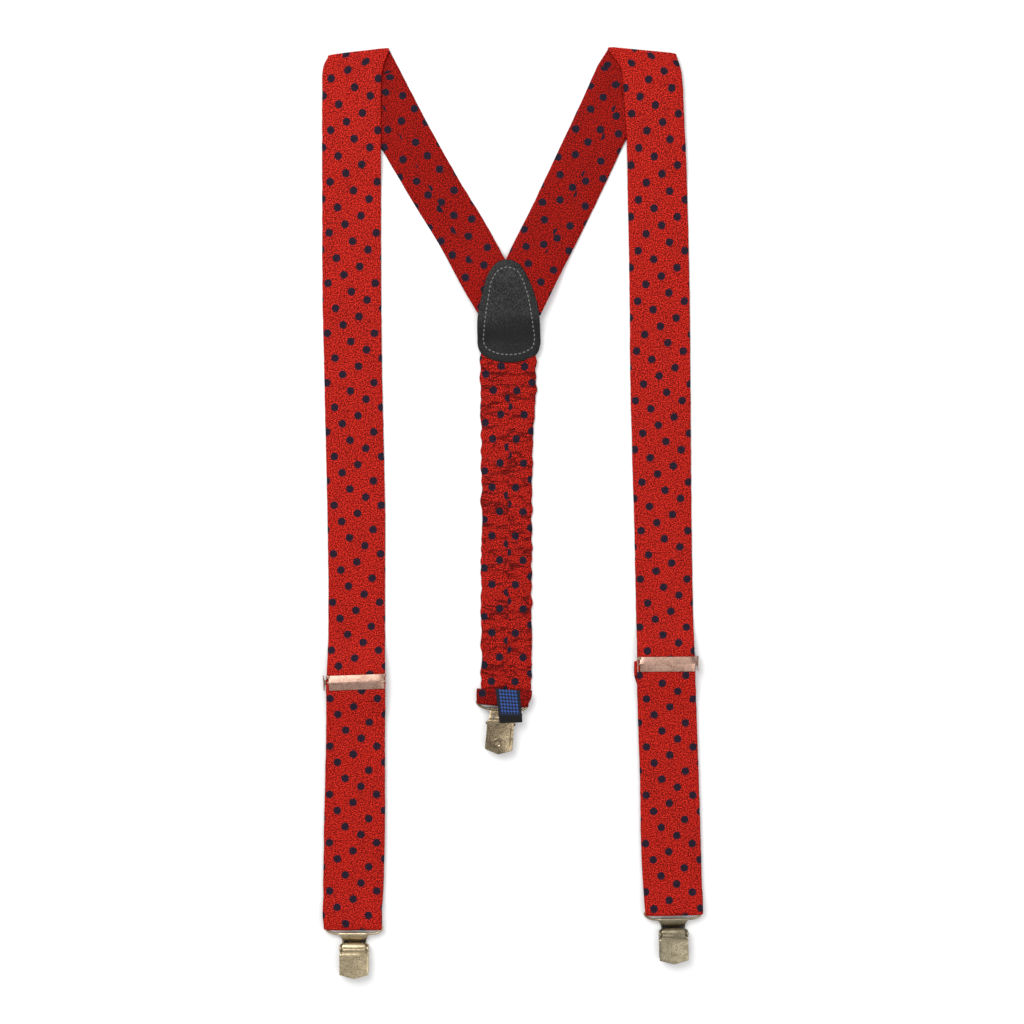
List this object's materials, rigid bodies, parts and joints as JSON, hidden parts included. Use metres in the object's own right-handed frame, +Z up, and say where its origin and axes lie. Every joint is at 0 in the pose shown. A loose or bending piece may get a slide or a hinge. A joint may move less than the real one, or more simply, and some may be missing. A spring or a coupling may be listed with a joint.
{
  "type": "suspenders",
  "caption": "Clip-on suspenders with a Y back: two long fabric-covered straps with sliding adjusters, a leather yoke patch, a gathered elastic back strap and lever clips.",
  "frame": {"origin": "under the middle of the whole outline, on the surface that the suspenders lie on", "axes": "+X to the right, +Y up the straps towards the shoulder folds, +Z up from the surface"},
  "size_m": [0.2252, 0.5544, 0.0071],
  "materials": {
    "satin": "woven satin sleeve, red with dark round dots",
    "webbing": "flat cotton webbing inside the sleeve",
    "elastic": "flat woven elastic inside the gathered sleeve",
    "leather": "charcoal black grained leather",
    "thread": "dark sewing thread",
    "woven_label": "dark navy woven ribbon",
    "nickel": "bright warm nickel plate on stamped steel",
    "grip_pad": "moulded dark plastic"
  },
  "bodies": {
    "back": {"yoke_backing": "leather", "yoke_facing": "leather", "yoke_stitching": "thread", "left_shoulder_cover": "satin", "left_shoulder_webbing": "webbing", "right_shoulder_cover": "satin", "right_shoulder_webbing": "webbing", "back_cover": "satin", "back_elastic": "elastic", "left_shoulder_fold": "satin", "right_shoulder_fold": "satin"},
    "back_end": {"back_hem": "satin", "back_label": "woven_label"},
    "back_clip": {"back_clip_frame": "nickel", "back_clip_pad": "grip_pad", "back_clip_pin": "nickel"},
    "back_lever": {"back_clip_lever": "nickel"},
    "back_jaw": {"back_clip_jaw": "nickel"},
    "left_front": {"left_front_cover": "satin", "left_front_webbing": "webbing"},
    "left_loop": {"left_return_cover": "satin", "left_return_webbing": "webbing"},
    "left_adjuster": {"left_adjuster_frame": "nickel"},
    "left_adjuster_lid": {"left_adjuster_cover": "nickel"},
    "left_clip": {"left_clip_frame": "nickel", "left_clip_pad": "grip_pad", "left_clip_pin": "nickel"},
    "left_lever": {"left_clip_lever": "nickel"},
    "left_jaw": {"left_clip_jaw": "nickel"},
    "right_front": {"right_front_cover": "satin", "right_front_webbing": "webbing"},
    "right_loop": {"right_return_cover": "satin", "right_return_webbing": "webbing"},
    "right_adjuster": {"right_adjuster_frame": "nickel"},
    "right_adjuster_lid": {"right_adjuster_cover": "nickel"},
    "right_clip": {"right_clip_frame": "nickel", "right_clip_pad": "grip_pad", "right_clip_pin": "nickel"},
    "right_lever": {"right_clip_lever": "nickel"},
    "right_jaw": {"right_clip_jaw": "nickel"}
  },
  "joints": [
    {"name": "left_shoulder_fold_hinge", "type": "hinge", "parent": "back", "child": "left_front", "pos_m": [-0.09273, 0.27168, 0.00135], "axis": [-0.9811, -0.1934, 0], "range_deg": [0, 180], "deforming": ["left_shoulder_fold"]},
    {"name": "left_strap_length", "type": "slide", "parent": "left_front", "child": "left_loop", "axis": [0, -1, 0], "range_m": [-0.12, 0.1], "deforming": ["left_front_cover", "left_front_webbing"]},
    {"name": "left_adjuster_slide", "type": "slide", "parent": "left_loop", "child": "left_adjuster", "axis": [0, -1, 0], "range_m": [-0.12, 0.1], "deforming": ["left_return_cover", "left_return_webbing"]},
    {"name": "left_adjuster_lid_hinge", "type": "hinge", "parent": "left_adjuster", "child": "left_adjuster_lid", "pos_m": [-0.09445, -0.09778, 0.006], "axis": [-0.9994, -0.0349, 0], "range_deg": [0, 100]},
    {"name": "left_clip_swing", "type": "hinge", "parent": "left_loop", "child": "left_clip", "pos_m": [-0.09433, -0.24642, 0.0025], "axis": [-1, 0, 0], "range_deg": [-90, 90]},
    {"name": "left_lever_hinge", "type": "hinge", "parent": "left_clip", "child": "left_lever", "pos_m": [-0.09433, -0.25942, 0.0039], "axis": [-1, 0, 0], "range_deg": [0, 100]},
    {"name": "left_jaw_hinge", "type": "hinge", "parent": "left_clip", "child": "left_jaw", "pos_m": [-0.09433, -0.25942, 0.0039], "axis": [-1, 0, 0], "range_deg": [0, 20]},
    {"name": "right_shoulder_fold_hinge", "type": "hinge", "parent": "back", "child": "right_front", "pos_m": [0.07798, 0.27188, 0.00135], "axis": [-0.9829, 0.184, 0], "range_deg": [0, 180], "deforming": ["right_shoulder_fold"]},
    {"name": "right_strap_length", "type": "slide", "parent": "right_front", "child": "right_loop", "axis": [0.0215, -0.9998, 0], "range_m": [-0.12, 0.1], "deforming": ["right_front_cover", "right_front_webbing"]},
    {"name": "right_adjuster_slide", "type": "slide", "parent": "right_loop", "child": "right_adjuster", "axis": [0.0215, -0.9998, 0], "range_m": [-0.12, 0.1], "deforming": ["right_return_cover", "right_return_webbing"]},
    {"name": "right_adjuster_lid_hinge", "type": "hinge", "parent": "right_adjuster", "child": "right_adjuster_lid", "pos_m": [0.09166, -0.08699, 0.006], "axis": [-0.9998, -0.0215, 0], "range_deg": [0, 100]},
    {"name": "right_clip_swing", "type": "hinge", "parent": "right_loop", "child": "right_clip", "pos_m": [0.09489, -0.23781, 0.0025], "axis": [-0.9998, -0.0215, 0], "range_deg": [-90, 90]},
    {"name": "right_lever_hinge", "type": "hinge", "parent": "right_clip", "child": "right_lever", "pos_m": [0.09517, -0.2508, 0.0039], "axis": [-0.9998, -0.0215, 0], "range_deg": [0, 100]},
    {"name": "right_jaw_hinge", "type": "hinge", "parent": "right_clip", "child": "right_jaw", "pos_m": [0.09517, -0.2508, 0.0039], "axis": [-0.9998, -0.0215, 0], "range_deg": [0, 20]},
    {"name": "back_stretch", "type": "slide", "parent": "back", "child": "back_end", "axis": [-0.0175, -0.9998, 0], "range_m": [0, 0.07], "stiffness_N_per_m": 120, "deforming": ["back_cover", "back_elastic"]},
    {"name": "back_clip_swing", "type": "hinge", "parent": "back_end", "child": "back_clip", "pos_m": [-0.00641, -0.11329, 0.0033], "axis": [-0.9969, 0.0785, 0], "range_deg": [-90, 90], "deforming": ["back_label"]},
    {"name": "back_lever_hinge", "type": "hinge", "parent": "back_clip", "child": "back_lever", "pos_m": [-0.00743, -0.12625, 0.0019], "axis": [0.9969, -0.0785, 0], "range_deg": [0, 100]},
    {"name": "back_jaw_hinge", "type": "hinge", "parent": "back_clip", "child": "back_jaw", "pos_m": [-0.00743, -0.12625, 0.0019], "axis": [0.9969, -0.0785, 0], "range_deg": [0, 20]}
  ],
  "couplings": [
    {"joint": "left_adjuster_slide", "follows": "left_strap_length", "ratio": 1},
    {"joint": "left_jaw_hinge", "follows": "left_lever_hinge", "ratio": 0.2},
    {"joint": "right_adjuster_slide", "follows": "right_strap_length", "ratio": 1},
    {"joint": "right_jaw_hinge", "follows": "right_lever_hinge", "ratio": 0.2},
    {"joint": "back_jaw_hinge", "follows": "back_lever_hinge", "ratio": 0.2}
  ]
}
